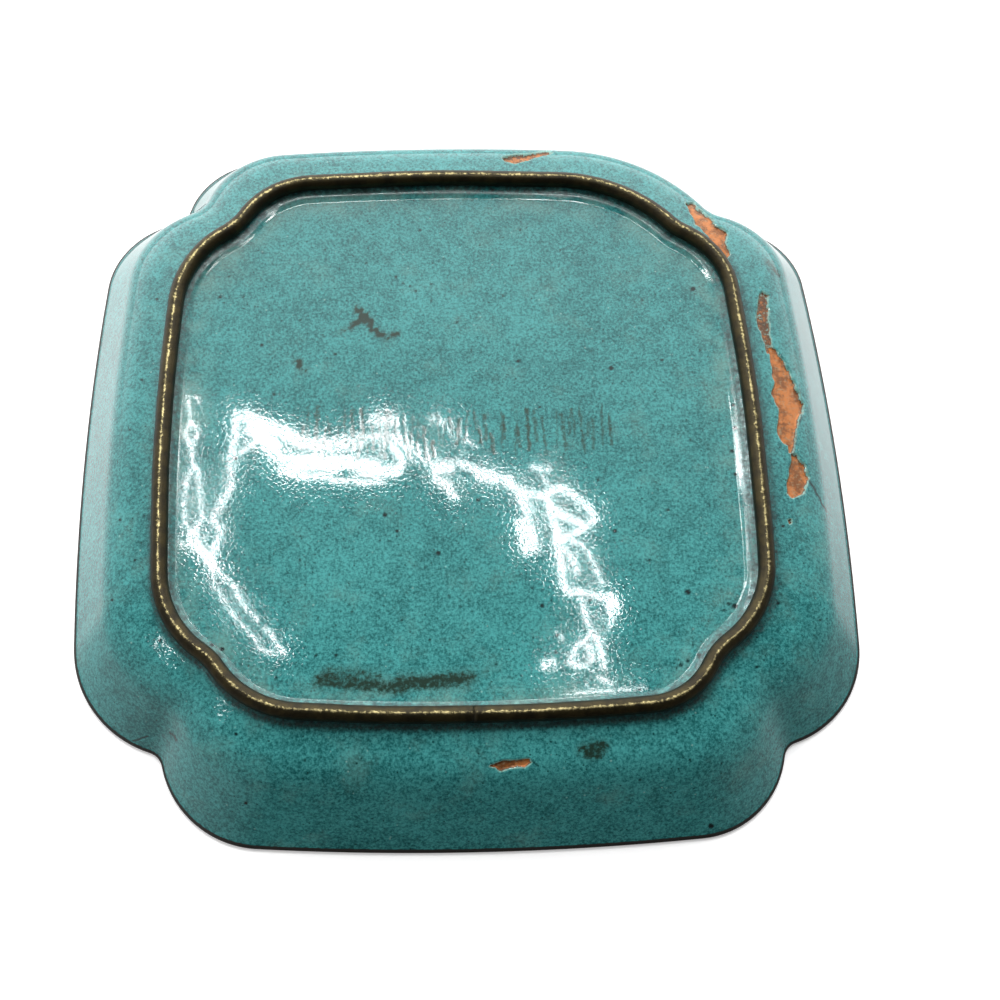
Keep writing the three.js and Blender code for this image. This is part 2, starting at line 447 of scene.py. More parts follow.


# Marks on the underside, read from the photo as pixel columns and rows of its 1000 by 1000.
# Where the enamel is gone and the copper shows, each place as its outline.
# The first number is how bare it is: below 0.6 patches of enamel stay on.
LOSSES = (
    (0.53, ((763, 291), (768, 296), (768, 308), (769, 321), (770, 337), (774, 352), (768, 353),
            (764, 340), (760, 331), (757, 321), (758, 305), (760, 294))),
    (1.0, ((769, 345), (776, 350), (785, 363), (792, 379), (799, 394), (803, 404), (803, 412),
           (798, 420), (796, 433), (793, 452), (790, 452), (788, 445), (780, 438), (777, 426),
           (780, 417), (778, 407), (772, 394), (775, 382), (772, 369))),
    (1.0, ((792, 452), (799, 458), (806, 468), (809, 478), (804, 493), (793, 498), (787, 493),
           (788, 480), (791, 465))),
    (0.62, ((686, 203), (693, 203), (699, 210), (709, 216), (717, 226), (727, 232), (726, 242),
            (730, 254), (726, 260), (720, 251), (713, 242), (705, 232), (696, 224))),
    (0.58, ((503, 157), (515, 155), (530, 154), (548, 151), (552, 153), (535, 157), (528, 160),
            (515, 163), (505, 161))),
    (0.8, ((490, 766), (502, 761), (516, 760), (529, 759), (532, 762), (526, 767), (513, 768),
           (500, 771))),
    (0.8, ((788, 520), (791, 519), (792, 523), (789, 524))),
)
# Pits: column, row and width.
PITS = (
    (396, 277, 3), (403, 283, 2.5), (410, 286, 2.5), (416, 291, 3), (431, 284, 2.5), (431, 301, 2.5),
    (368, 248, 2.5), (366, 263, 2.5), (503, 296, 2.5), (518, 361, 4), (611, 368, 5), (693, 289, 5),
    (157, 299, 3), (220, 297, 3.5), (243, 297, 2.5), (229, 276, 2.5), (335, 354, 3.5), (274, 394, 3),
    (235, 458, 5), (305, 504, 2.5), (385, 515, 5), (397, 531, 4), (438, 553, 5), (478, 500, 4),
    (542, 606, 4.5), (557, 635, 4), (496, 664, 3), (615, 531, 5), (688, 592, 6), (212, 645, 4),
    (222, 649, 5), (246, 803, 4), (236, 734, 3.5), (711, 826, 6), (735, 606, 6), (729, 604, 4),
    (724, 610, 3.5), (699, 655, 5), (688, 661, 4), (681, 665, 4.5), (693, 645, 3), (676, 668, 3),
    (662, 360, 3), (603, 341, 2.5), (642, 300, 2.5), (570, 290, 2.5), (457, 322, 3), (540, 407, 3),
    (655, 392, 2.5), (733, 405, 4), (735, 428, 5), (732, 451, 4), (735, 474, 4), (773, 529, 3.5),
    (783, 526, 3.5), (776, 552, 3.5), (778, 603, 4), (757, 667, 3.5), (270, 654, 3), (276, 678, 3.5),
    (316, 655, 3), (336, 655, 4), (402, 620, 3), (352, 612, 2.5), (300, 560, 3), (318, 618, 2.5),
    (430, 640, 3), (449, 596, 2.5), (520, 575, 2.5), (570, 565, 3), (590, 600, 3), (630, 610, 2.5),
    (650, 560, 2.5), (668, 510, 3), (640, 470, 2.5), (598, 480, 3), (690, 440, 2.5), (700, 350, 3),
    (560, 250, 2.5), (520, 230, 2.5), (480, 245, 2.5), (420, 230, 3), (325, 250, 2.5), (300, 320, 2.5),
    (262, 345, 3), (250, 420, 3), (290, 440, 2.5), (350, 470, 2.5), (142, 380, 3), (130, 430, 2.5),
    (120, 520, 3), (135, 560, 2.5), (112, 600, 3), (160, 640, 3), (305, 760, 2.5), (420, 790, 2.5),
    (640, 780, 3), (690, 760, 3), (760, 720, 3), (820, 620, 3), (640, 690, 3), (556, 652, 3),
)
# Hairline cracks and scratches: both ends and the width.
CRACKS = (
    (809, 479, 817, 494, 2.4), (817, 494, 826, 512, 1.8), (133, 741, 148, 736, 1.8),
    (170, 732, 177, 740, 1.8), (533, 760, 538, 766, 1.4), (803, 412, 797, 428, 1.6),
    (797, 428, 793, 456, 1.6),
)
# Brown stains: both ends, the width and how dark they are.
STAINS = (
    (337, 333, 352, 328, 6, 0.5), (350, 327, 366, 318, 7, 0.8), (357, 309, 364, 316, 8, 0.95),
    (366, 316, 372, 330, 8, 0.9), (372, 330, 386, 337, 7, 0.9), (386, 337, 399, 335, 5, 0.85),
    (292, 359, 300, 361, 5, 0.8), (299, 361, 303, 372, 6, 0.95), (767, 260, 779, 276, 6, 0.6),
    (583, 750, 603, 746, 14, 0.65), (589, 757, 600, 755, 10, 0.7), (320, 681, 400, 688, 16, 0.72),
    (400, 684, 470, 678, 16, 0.75), (330, 672, 380, 676, 12, 0.55), (268, 340, 276, 352, 4, 0.3),
    (760, 300, 764, 345, 5, 0.35),
)
# The worn row of plain upright strokes across the base: its two ends, how far it sags between
# them, the height of its tallest stroke, how many strokes it has and the seed that draws them.
MARK_ENDS = ((300, 430), (612, 428))
MARK_SAG = 6
MARK_HEIGHT = 50
MARK_STROKES = 46
MARK_SEED = 7
# How many pixels the loss field takes from nothing to bare.
LOSS_BLUR = 9

# The lamp: how high its tubes hang over the seat of the wire, how bright they are, and how far
# each one reaches past its ends, as a share of its thickness.
LAMP_HEIGHT = 300 * MM
LAMP_RADIANCE = 50
TUBE_OVERLAP = 0.4
# The lamp's bright lines in the gloss of the base, each as its width and its path in pixels.
GLINTS = (
    (13, (242, 416), (262, 426), (285, 434), (300, 440)),
    (12, (246, 430), (262, 440), (276, 450)),
    (6, (235, 412), (234, 436), (231, 458), (231, 484)),
    (10, (262, 452), (278, 450)),
    (11, (300, 442), (325, 443), (350, 440), (362, 436)),
    (8, (268, 458), (290, 460), (315, 457), (350, 457), (380, 460)),
    (7, (386, 440), (404, 458), (400, 470)),
    (8, (278, 470), (300, 466), (320, 464), (336, 466)),
    (7, (276, 472), (300, 476), (330, 474)),
    (6, (318, 462), (362, 463)),
    (6, (330, 479), (360, 481), (385, 480)),
    (12, (362, 468), (398, 470)),
    (11, (370, 416), (398, 418)),
    (7, (366, 434), (396, 434), (404, 440)),
    (5, (236, 458), (252, 446), (262, 440)),
    (6, (233, 484), (222, 500), (212, 515)),
    (3.5, (188, 396), (190, 420)),
    (3, (198, 397), (199, 404)),
    (3.5, (191, 424), (185, 436), (190, 449), (197, 441), (197, 431), (191, 424)),
    (3.5, (192, 449), (193, 466)),
    (4, (194, 466), (186, 482), (184, 502), (185, 520), (192, 530)),
    (4, (197, 468), (200, 490), (202, 514), (196, 523), (192, 530)),
    (3, (178, 537), (184, 546), (190, 543)),
    (5, (192, 528), (189, 541)),
    (7, (190, 541), (204, 553), (212, 564)),
    (5, (197, 524), (196, 537), (205, 550)),
    (6, (213, 517), (222, 528), (216, 544), (212, 556)),
    (8, (208, 553), (212, 566)),
    (4.5, (212, 562), (222, 576), (232, 586), (236, 598), (246, 610), (256, 620)),
    (4, (262, 626), (272, 634), (278, 646), (286, 652)),
    (3.5, (210, 568), (214, 586), (222, 602), (230, 614), (240, 626), (252, 637)),
    (4, (252, 637), (259, 649), (270, 653), (286, 653)),
    (7, (398, 440), (412, 447), (424, 455), (430, 462)),
    (12, (434, 468), (454, 467)),
    (8, (436, 478), (450, 486), (456, 500)),
    (6, (430, 415), (440, 420)),
    (6, (447, 418), (452, 429)),
    (6, (457, 431), (465, 436)),
    (3, (466, 438), (480, 447)),
    (7, (460, 463), (478, 471), (496, 474)),
    (9, (480, 476), (512, 479)),
    (7, (505, 481), (520, 491), (542, 496)),
    (6, (532, 466), (549, 468)),
    (4, (543, 474), (547, 483)),
    (17, (524, 520), (531, 549)),
    (9, (520, 494), (530, 512)),
    (8, (546, 492), (560, 486), (575, 496), (589, 507), (598, 518)),
    (7, (546, 494), (551, 512), (556, 530), (561, 541)),
    (7, (550, 506), (564, 516), (582, 523)),
    (6, (598, 518), (584, 527), (564, 535)),
    (7, (555, 534), (557, 550), (561, 566), (562, 580), (567, 592)),
    (6, (562, 546), (573, 558), (578, 572)),
    (4.5, (570, 538), (582, 543), (591, 553), (596, 566), (602, 581)),
    (7, (566, 593), (580, 590), (601, 596)),
    (13, (607, 592), (612, 602), (612, 612)),
    (5, (611, 612), (609, 628)),
    (5.5, (580, 598), (584, 612), (587, 627)),
    (6.5, (589, 631), (598, 641), (602, 655), (604, 668)),
    (5.5, (588, 637), (574, 646), (570, 660), (577, 666), (590, 664)),
    (7, (588, 645), (592, 660)),
    (10, (542, 663), (553, 662)),
    (5, (598, 676), (611, 682)),
    (4, (566, 694), (600, 690), (645, 688)),
    (3, (557, 632), (562, 640)),
)
# The same on the sloping plateau in front of the foot.
PLATEAU_GLINTS = (
    (5, (146, 640), (156, 660), (166, 674)),
    (6, (171, 666), (180, 684), (192, 698), (208, 706)),
    (6, (174, 664), (188, 674), (200, 690), (208, 702)),
)
# How bright the sky is behind the tray, above and below the horizon, at its sides and elsewhere.
SKY_BACK = 4.1
SKY_LOW = 1.15
SKY_LEFT = 0.75
SKY_RIGHT = 0.35
SKY_REST = 0.09
FLOOR_HALF = 1.5
BACKDROP_RADIUS = 1.4
BACKDROP_HEIGHT = 4
# How high the fine grain of the glaze stands.
GLAZE_RELIEF = 0.0014 * MM
# Colours of what lies on the enamel or shows in it.
FILM = (0.2, 0.33, 0.28)
# Soil with painted shade on the outside of the foot, mostly on the front side.
SOIL_AND_SHADE = (0.033, 0.05, 0.039)
STAIN_RIM = (0.025, 0.055, 0.045)
STAIN_CORE = (0.01, 0.026, 0.018)
STROKE = (0.011, 0.022, 0.01)
CHIP_HALO = (0.27, 0.4, 0.31)
CHIP_EDGE_DARK = (0.035, 0.02, 0.01)
VEIL = (0.12, 0.2, 0.165)
PALE_FLECK = (0.25, 0.42, 0.38)
OCHRE = (0.24, 0.19, 0.11)
# Colours of the pattern inside the tray.
BLUE = (0.012, 0.028, 0.16)
RED = (0.26, 0.022, 0.014)
YELLOW = (0.5, 0.3, 0.05)
GREEN = (0.02, 0.12, 0.035)
BRASS = (0.5, 0.33, 0.12)
# The pattern inside the tray: its brass hairlines, how far the petals of the lotus, its inner
# petals and its seed head reach between their tips, and the two edges of the border.
HAIR = 0.14 * MM
PETALS = 12 * MM
PETAL_TIPS = 6 * MM
INNER_PETALS = 6 * MM
INNER_TIPS = 4.5 * MM
SEED_HEAD = 3.4 * MM
BORDER_INSIDE = 35 * MM
BORDER_OUTSIDE = 39 * MM


def polygon_depth(pixels, outline):
    """How far inside an outline each pixel lies, negative outside."""
    corners = np.array(outline, float)
    following = np.roll(corners, -1, axis=0)
    nearest = np.full(len(pixels), np.inf)
    inside = np.zeros(len(pixels), bool)
    for start, end in zip(corners, following):
        nearest = np.minimum(nearest, segment_distance(pixels, start, end))
        crosses = (start[1] > pixels[:, 1]) != (end[1] > pixels[:, 1])
        rise = end[1] - start[1]
        slope = (end[0] - start[0]) / (rise if rise else 1)
        inside ^= crosses & (pixels[:, 0] < start[0] + (pixels[:, 1] - start[1]) * slope)
    return np.where(inside, nearest, -nearest)


def segment_distance(pixels, start, end):
    """Distance of each pixel to a straight piece."""
    start = np.asarray(start, float)
    run = np.asarray(end, float) - start
    share = np.clip(((pixels - start) @ run) / max(run @ run, 1e-9), 0, 1)
    return np.hypot(*(pixels - start - share[:, None] * run).T)


def ragged(pixels):
    """A small uneven shift, in pixels, that roughens an edge."""
    x, y = pixels.T
    return 0.6 * np.sin(0.31 * x + 0.42 * y) + 0.5 * np.sin(0.53 * x - 0.37 * y + 1)


def mark_strokes():
    """Plain upright strokes in a row, of uneven height, lean and weight."""
    draw = random.Random(MARK_SEED)
    (left, left_row), (right, right_row) = MARK_ENDS
    strokes = []
    for i in range(MARK_STROKES):
        share = (i + draw.uniform(0.1, 0.9)) / MARK_STROKES
        column = left + (right - left) * share
        row = left_row + (right_row - left_row) * share + MARK_SAG * math.sin(math.pi * share)
        tall = MARK_HEIGHT * draw.uniform(0.25, 0.95)
        middle = row + (MARK_HEIGHT - tall) * draw.uniform(-0.5, 0.5)
        lean = draw.uniform(-0.12, 0.16) * tall
        weight = draw.uniform(0.55, 1)
        width = draw.uniform(1.8, 4.2)
        strokes.append((column - lean / 2, middle - tall / 2, column + lean / 2, middle + tall / 2,
                        width, weight))
    return strokes


def fade(value, softness):
    """From 0 to 1 as a value rises through zero."""
    return smooth(value / softness + 0.5)


class Marks:
    """Every mark's strength at an array of pixels."""

    def __init__(self, pixels):
        wavy = pixels + ragged(pixels)[:, None] * (0.7, -0.5)
        self.loss = np.zeros(len(pixels))
        nearest = np.full(len(pixels), -np.inf)
        for bare, outline in LOSSES:
            depth = polygon_depth(wavy, outline)
            self.loss = np.maximum(self.loss, np.clip(0.5 + depth / LOSS_BLUR, 0, bare))
            nearest = np.maximum(nearest, depth)
        self.pit = np.zeros(len(pixels))
        self.reach = -nearest - 2
        for column, row, width in PITS:
            away = np.hypot(pixels[:, 0] - column, (pixels[:, 1] - row) * 1.15)
            self.add("pit", width / 2 - away, 1.0, 1)
        for column, row, end_column, end_row, width in CRACKS:
            away = segment_distance(wavy, (column, row), (end_column, end_row))
            self.add("pit", width / 2 - away, 1.0, 0.9)
        self.stroke = np.zeros(len(pixels))
        for column, row, end_column, end_row, width, weight in mark_strokes():
            away = segment_distance(wavy, (column, row), (end_column, end_row))
            self.add("stroke", width / 2 - away, 1.3, weight)
        self.stain = np.zeros(len(pixels))
        for column, row, end_column, end_row, width, weight in STAINS:
            away = segment_distance(wavy, (column, row), (end_column, end_row))
            strength = fade(width / 2 - away, width * 0.7) * weight
            self.stain = np.maximum(self.stain, strength)

    def add(self, name, inside, softness, weight):
        """Lays one more mark over those of its kind and notes how far away its edge is."""
        strength = fade(inside, softness) * weight
        setattr(self, name, np.maximum(getattr(self, name), strength))
        self.reach = np.minimum(self.reach, -inside)


class Sockets:
    """One node socket, whose arithmetic adds Math nodes to its tree."""

    def __init__(self, tree, socket):
        self.tree = tree
        self.socket = socket

    def math(self, operation, *others):
        node = self.tree.nodes.new("ShaderNodeMath")
        node.operation = operation
        for place, value in zip(node.inputs, (self, *others)):
            if isinstance(value, Sockets):
                self.tree.links.new(value.socket, place)
            else:
                place.default_value = value
        return Sockets(self.tree, node.outputs[0])

    def __add__(self, other):
        return self.math("ADD", other)

    __radd__ = __add__

    def __mul__(self, other):
        return self.math("MULTIPLY", other)

    __rmul__ = __mul__

    def __sub__(self, other):
        return self.math("SUBTRACT", other)

    def __rsub__(self, other):
        return (self * -1).math("ADD", other)

    def __pow__(self, other):
        return self.math("POWER", other)

    def above(self, low, high):
        """0 below the low value, 1 above the high one, smooth between."""
        node = self.tree.nodes.new("ShaderNodeMapRange")
        node.interpolation_type = "SMOOTHSTEP"
        self.tree.links.new(self.socket, node.inputs["Value"])
        node.inputs["From Min"].default_value = low
        node.inputs["From Max"].default_value = high
        return Sockets(self.tree, node.outputs["Result"])

    def larger(self, other):
        return self.math("MAXIMUM", other)


class Finish:
    """A material under construction."""

    def __init__(self, name, world=None):
        self.material = world or bpy.data.materials.new(name)
        self.material.use_nodes = True
        self.tree = self.material.node_tree
        self.shader = self.tree.nodes["Background" if world else "Principled BSDF"]

    def node(self, kind, settings=None, output=0, **inputs):
        """Adds a node: settings first, then the values or links of its inputs."""
        node = self.tree.nodes.new(kind)
        for name, value in (settings or {}).items():
            setattr(node, name, value)
        for name, value in inputs.items():
            self.put(node, name, value)
        return Sockets(self.tree, node.outputs[output])

    def put(self, node, name, value):
        """Sets or links one input, by its name with spaces as underscores, or by its number."""
        place = node.inputs[int(name[1:])] if name[1:].isdigit() else node.inputs[name.replace("_", " ")]
        if isinstance(value, Sockets):
            self.tree.links.new(value.socket, place)
        elif place.type == "RGBA":
            place.default_value = (*value, 1)
        else:
            place.default_value = value

    def set(self, **inputs):
        for name, value in inputs.items():
            self.put(self.shader, name, value)

    def place(self):
        return self.node("ShaderNodeTexCoord", output="Object")

    def split(self, vector):
        """The three parts of a vector."""
        node = self.node("ShaderNodeSeparateXYZ", Vector=vector).socket.node
        return [Sockets(self.tree, part) for part in node.outputs]

    def attribute(self, name):
        return self.node("ShaderNodeAttribute", {"attribute_name": name}, output="Fac")

    def noise(self, where, scale, detail=2.0, roughness=0.5):
        return self.node("ShaderNodeTexNoise", Vector=where, Scale=scale, Detail=detail,
                         Roughness=roughness)

    def cells(self, where, scale, **settings):
        return self.node("ShaderNodeTexVoronoi", settings, Vector=where, Scale=scale)

    def mix(self, share, first, second):
        return self.node("ShaderNodeMix", {"data_type": "RGBA"}, output=2, _0=share, _6=first, _7=second)

    def tint(self, colour, factor):
        """A colour made lighter or darker by a number."""
        return self.node("ShaderNodeVectorMath", {"operation": "SCALE"}, _0=colour, Scale=factor)

    def bump(self, height, distance):
        return self.node("ShaderNodeBump", Height=height, Distance=distance, Strength=1.0)


def bake(name, bm, finishes, nodes=()):
    """Turns a finished bmesh into a smooth object at the origin."""
    mesh = bpy.data.meshes.new(name)
    bm.to_mesh(mesh)
    bm.free()
    for finish in finishes:
        mesh.materials.append(finish)
    mesh.shade_smooth()
    thing = bpy.data.objects.new(name, mesh)
    bpy.context.scene.collection.objects.link(thing)
    if nodes:
        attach(thing, "root")
        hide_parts(*nodes)
    return thing


def place_on_ring(column, row, level):
    """Where a grid point falls on its ring: its number, from the front right notch on."""
    if level == 0:
        return 0
    if column == level and row < level:
        return row + level
    if row == level and column > -level:
        return 2 * level + level - column
    if column == -level and row > -level:
        return 4 * level + level - row
    return (6 * level + level + column) % (8 * level)


def lay_underside(bm):
    """Lays a square grid on the underside, ring by ring."""
    size = sizes()
    rings = underside_rings()
    last = len(rings) - 1
    bmesh.ops.create_grid(bm, x_segments=2 * last, y_segments=2 * last, size=1)
    tracks = [ring_points(share, offset, max(8 * level, 8))
              for level, (share, offset, _, _) in enumerate(rings)]
    number = bm.verts.layers.int.new("number")
    edge = bm.verts.layers.float.new("edge")
    grime_and_shade = bm.verts.layers.float.new("grime_and_shade")
    film = bm.verts.layers.float.new("film")
    beyond = bm.verts.layers.float.new("outer")
    whole = whole_run()
    seat_half = half_seat()
    seat_run = whole - seat_half
    middle = np.array((size.foot_shift_x, size.foot_shift_y))
    core = (size.foot_half_x - rings[0][1]) * CORE_SHARE / PANEL_RINGS
    for vert in bm.verts:
        column, row = round(vert.co.x * last), round(vert.co.y * last)
        level = max(abs(column), abs(row))
        share, offset, height, scale = rings[level]
        spot = place_on_ring(column, row, level)
        point = tracks[level][spot]
        if scale < 1:
            square = middle + np.array((column, row)) * core
            outer = middle + (point - middle) * scale
            point = square + (outer - square) * scale ** 2
        if share == 1 and scale == 1 and offset > seat_half:
            back_right = smooth((0.75 * point[0] + point[1]) / size.rim_half + 0.5)
            wide = size.margin_width * (MARGIN_LEAST + (1 - MARGIN_LEAST) * back_right)
            height = size.seat_height - size.panel_sink * smooth((offset - seat_half) / wide)
        vert.co = (point[0], point[1], height)
        vert[number] = spot if level == last else -1
        run = share * whole
        offset = offset if share == 1 else seat_half + (seat_run - run)
        vert[edge] = float(1 - smooth(run / TARNISH_REACH))
        # Grime with painted shade beside the wire; outside the foot on the front it reaches further as
        # the wire's painted shadow.
        reach = GRIME_AND_SHADE_REACH + (FRONT_GRIME_AND_SHADOW if offset < 0 and point[1] < 0 else 0)
        vert[grime_and_shade] = float(1 - smooth((abs(offset) - seat_half) / reach))
        # Outside the foot: the mask for soil and painted shade.
        vert[beyond] = float(smooth(-offset / SOIL_AND_SHADE_REACH))
        inwards = (1 - scale) * size.foot_half_x + max(offset - seat_half, 0)
        vert[film] = float(1 - smooth(inwards / FILM_REACH)) if offset > 0 and share == 1 else 0.0


def view_of(bm, eye):
    """Pixels of every vertex, and whether the camera sees its side of the sheet."""
    points = np.array([vert.co for vert in bm.verts])
    normals = np.array([vert.normal for vert in bm.verts])
    away = np.array(eye.place) - points
    facing = np.sum(away * normals, axis=1) / np.linalg.norm(away, axis=1)
    return eye.pixels(points), facing > GRAZING


def refine(bm, eye):
    """Cuts the cells near the marks finer, so that the marks have crisp edges."""
    bm.verts.index_update()
    pixels, seen = view_of(bm, eye)
    near = seen & (Marks(pixels).reach < REFINE_REACH)
    rim = {vert.index for edge in bm.edges if edge.is_boundary for vert in edge.verts}
    chosen = set()
    for face in bm.faces:
        corners = [vert.index for vert in face.verts]
        if any(near[i] for i in corners) and not rim.intersection(corners):
            chosen.update(face.edges)
    bmesh.ops.subdivide_edges(bm, edges=list(chosen), cuts=REFINE_CUTS, use_grid_fill=True)
    bm.normal_update()


def emboss(bm, eye):
    """Makes the sheet uneven, sinks the chips and strokes into it, and notes on each vertex how
    strong every kind of mark is."""
    size = sizes()
    pixels, seen = view_of(bm, eye)
    marks = Marks(pixels)
    layers = {name: bm.verts.layers.float.new(name) for name in ("loss", "pit", "stroke", "stain")}
    for i, vert in enumerate(bm.verts):
        at_rim = smooth((vert.co.z - size.edge_height) / SWELL_RISE)
        swell = sum(noise.noise(vert.co * often) * high for often, high in SWELLS)
        sink = 0.0
        if seen[i]:
            for name, layer in layers.items():
                vert[layer] = float(getattr(marks, name)[i])
            sink = size.enamel_thickness * smooth((vert[layers["loss"]] - CHIP_START) / CHIP_FALL)
            sink += STROKE_SINK * vert[layers["stroke"]]
        vert.co += vert.normal * (swell * at_rim - sink)
    bm.normal_update()


def turn_rim(bm):
    """Takes the sheet round its bare edge and back along the inside of the well. The operator's new
    points and faces come in any order, so they are put in the order of their numbers."""
    size = sizes()
    lip_top, shoulder, _ = wall_profile(INSIDE_RINGS)
    whole = whole_run()
    seat_half = half_seat()
    lip_bend = (size.lip_slope + size.wall_slope) / 2
    rings = [(0, 0, size.edge_height * 0.45), (0, 0, size.edge_height * 0.2),
             (0, 0.06 * MM, 0.05 * MM), (0, 0.18 * MM, 0), (0, size.edge_width, 0)]
    inside = [(size.lip_width, lip_top, lip_bend)]
    start_run, start_height, slope = shoulder[0]
    for part in spaced(0, 1, INSIDE_RINGS)[:-1]:
        inside.append((size.lip_width + (start_run - size.lip_width) * part,
                       lip_top + (start_height - lip_top) * part, slope))
    inside += shoulder
    for run, height, slope in inside:
        rings.append((run / whole, size.wall_thickness * math.sin(slope),
                      max(height - size.wall_thickness * math.cos(slope), LIP_CLEARANCE)))
    rings.append((1, -seat_half, size.seat_height - size.wall_thickness))
    number = bm.verts.layers.int["number"]
    all_verts, all_faces = list(bm.verts), list(bm.faces)
    edges = [edge for edge in bm.edges if edge.is_boundary]
    for step, (share, offset, height) in enumerate(rings):
        grown = bmesh.ops.extrude_edge_only(bm, edges=edges)["geom"]
        verts = [item for item in grown if isinstance(item, bmesh.types.BMVert)]
        faces = [item for item in grown if isinstance(item, bmesh.types.BMFace)]
        edges = [item for item in grown if isinstance(item, bmesh.types.BMEdge) and item.is_boundary]
        track = ring_points(share, offset, len(verts))
        for vert in verts:
            vert.co = (*track[vert[number]], height)
        for face in faces:
            face.material_index = EDGE_FINISH if step < EDGE_RINGS else FACE_FINISH
        all_verts += sorted(verts, key=lambda vert: vert[number])
        all_faces += sorted(faces, key=lambda face: first_number(face, number))
    floor = bmesh.ops.contextual_create(bm, geom=edges)["faces"]
    for face in floor:
        face.material_index = FACE_FINISH
    bmesh.ops.recalc_face_normals(bm, faces=bm.faces)
    for sequence, ordered in ((bm.verts, all_verts), (bm.faces, all_faces + floor)):
        for index, item in enumerate(ordered):
            item.index = index
        sequence.sort()


def first_number(face, number):
    """The number of the point that a face of a ring starts at. The last one ends at number 0."""
    low, high = sorted({vert[number] for vert in face.verts})
    return high if high - low > 1 else low


def enamel_finish():
    """Mottled turquoise enamel, with bare copper, pits, strokes and stains where they are noted."""
    look = looks()
    finish = Finish("tray_enamel")
    place = finish.place()
    enamel = clouded_enamel(finish, place)
    breakup = finish.noise(place, 1300, 3.0, 0.7)
    film = finish.attribute("film") * finish.noise(place, 170, 4.0, 0.65).above(0.36, 0.68)
    enamel = finish.mix(film * 0.42, enamel, FILM)
    # Outside the foot the enamel is darkened by soil and painted shade, with much more on the front
    # side, painted darker where less light falls.
    front = (finish.split(place)[1] * -1).above(0.032, 0.054)
    soil_and_shade = finish.attribute("outer") * (front * 0.6 + 0.3)
    enamel = finish.mix(soil_and_shade, enamel, SOIL_AND_SHADE)
    # Grime and painted shade beside the wire, towards soot; in front of the wire it is the wire's
    # painted shadow.
    grime_and_shade = finish.attribute("grime_and_shade") * breakup.above(0.25, 0.7)
    enamel = finish.mix(grime_and_shade * 0.88, enamel, look.soot)
    enamel = finish.mix(finish.attribute("stain") * 0.6, enamel, STAIN_RIM)
    specks = finish.noise(place, 1700, 3.0, 0.75)
    stain = (finish.attribute("stain") * 1.5 + specks * 2 - 1.5).above(0.0, 0.6)
    enamel = finish.mix(stain, enamel, STAIN_CORE)
    stroke = finish.attribute("stroke") * breakup.above(0.34, 0.5)
    enamel = finish.mix(stroke * 0.85, enamel, STROKE)
    pit = finish.attribute("pit")
    enamel = finish.mix(pit, enamel, look.soot)
    field = (finish.attribute("loss") + finish.noise(place, 1500, 3.0, 0.6) * 0.3
             + finish.noise(place, 5200, 1.0, 0.5) * 0.12 - 0.21)
    loss = field.above(0.48, 0.52)
    halo = field.above(0.3, 0.48)
    enamel = finish.mix(halo * 0.45, enamel, CHIP_HALO)
    copper = bare_copper(finish, place)
    # Darker along the inner edge of each chip.
    chip_edge_dark = loss * (1 - field.above(0.53, 0.6))
    copper = finish.mix(chip_edge_dark * 0.85, copper, CHIP_EDGE_DARK)
    edge = (finish.attribute("edge") + breakup * 0.4).above(0.64, 0.78)
    colour = finish.mix(edge, finish.mix(loss, enamel, copper), look.edge)
    ripple = finish.noise(place, 900, 1.0, 0.5)
    grain = finish.noise(place, 2100, 1.0, 0.5).above(0.43, 0.6)
    relief = ripple * 0.15 + grain + loss * finish.noise(place, 1700, 3.0, 0.7) * 28
    finish.set(Base_Color=colour, Metallic=loss * 0.2, Normal=finish.bump(relief, GLAZE_RELIEF),
               Roughness=loss * 0.45 + stroke * 0.05 + grime_and_shade * 0.4 + edge * 0.4 + 0.03)
    finish.shader.inputs["IOR"].default_value = 1.38
    return finish.material


def clouded_enamel(finish, place):
    """Turquoise in soft clouds, with a fine dark grain and a few pale and dark flecks."""
    look = looks()
    broad = finish.noise(place, 75, 3.0, 0.6)
    cloud = finish.noise(place, 420, 4.0, 0.7)
    grain = finish.noise(place, 2300, 3.0, 0.8)
    tone = (broad * 0.5 + cloud * 0.8 + grain * 2.4 - 1.35).above(0.0, 1.0)
    enamel = finish.mix(tone, look.enamel_dark, look.enamel_light)
    veil = finish.noise(place, 130, 4.0, 0.65).above(0.5, 0.75)
    enamel = finish.mix(veil * 0.22, enamel, VEIL)
    rare = finish.noise(place, 700, 1.0, 0.5)
    dark = finish.cells(place, 1150).above(0.22, 0.1) * rare.above(0.52, 0.6)
    enamel = finish.mix(dark * 0.75, enamel, look.soot)
    pale = finish.cells(place, 820).above(0.16, 0.08) * rare.above(0.44, 0.36)
    return finish.mix(pale * 0.45, enamel, PALE_FLECK)


def bare_copper(finish, place):
    """Copper dulled in patches to brown and ochre."""
    look = looks()
    tone = finish.noise(place, 650, 4.0, 0.7)
    patch = finish.noise(place, 1900, 3.0, 0.7)
    copper = finish.mix(tone.above(0.38, 0.62), finish.tint(look.copper, 0.38), look.copper)
    return finish.mix(patch.above(0.5, 0.7) * 0.65, copper, OCHRE)


def edge_finish():
    """The tarnished copper edge of the sheet."""
    look = looks()
    finish = Finish("bare_edge")
    place = finish.place()
    tone = finish.noise(place, 700, 3.0, 0.6).above(0.4, 0.75)
    colour = finish.mix(tone, look.edge, finish.tint(look.copper, 0.35))
    finish.set(Base_Color=colour, Metallic=0.8, Roughness=0.5,
               Normal=finish.bump(finish.noise(place, 2000), 0.00002))
    return finish.material


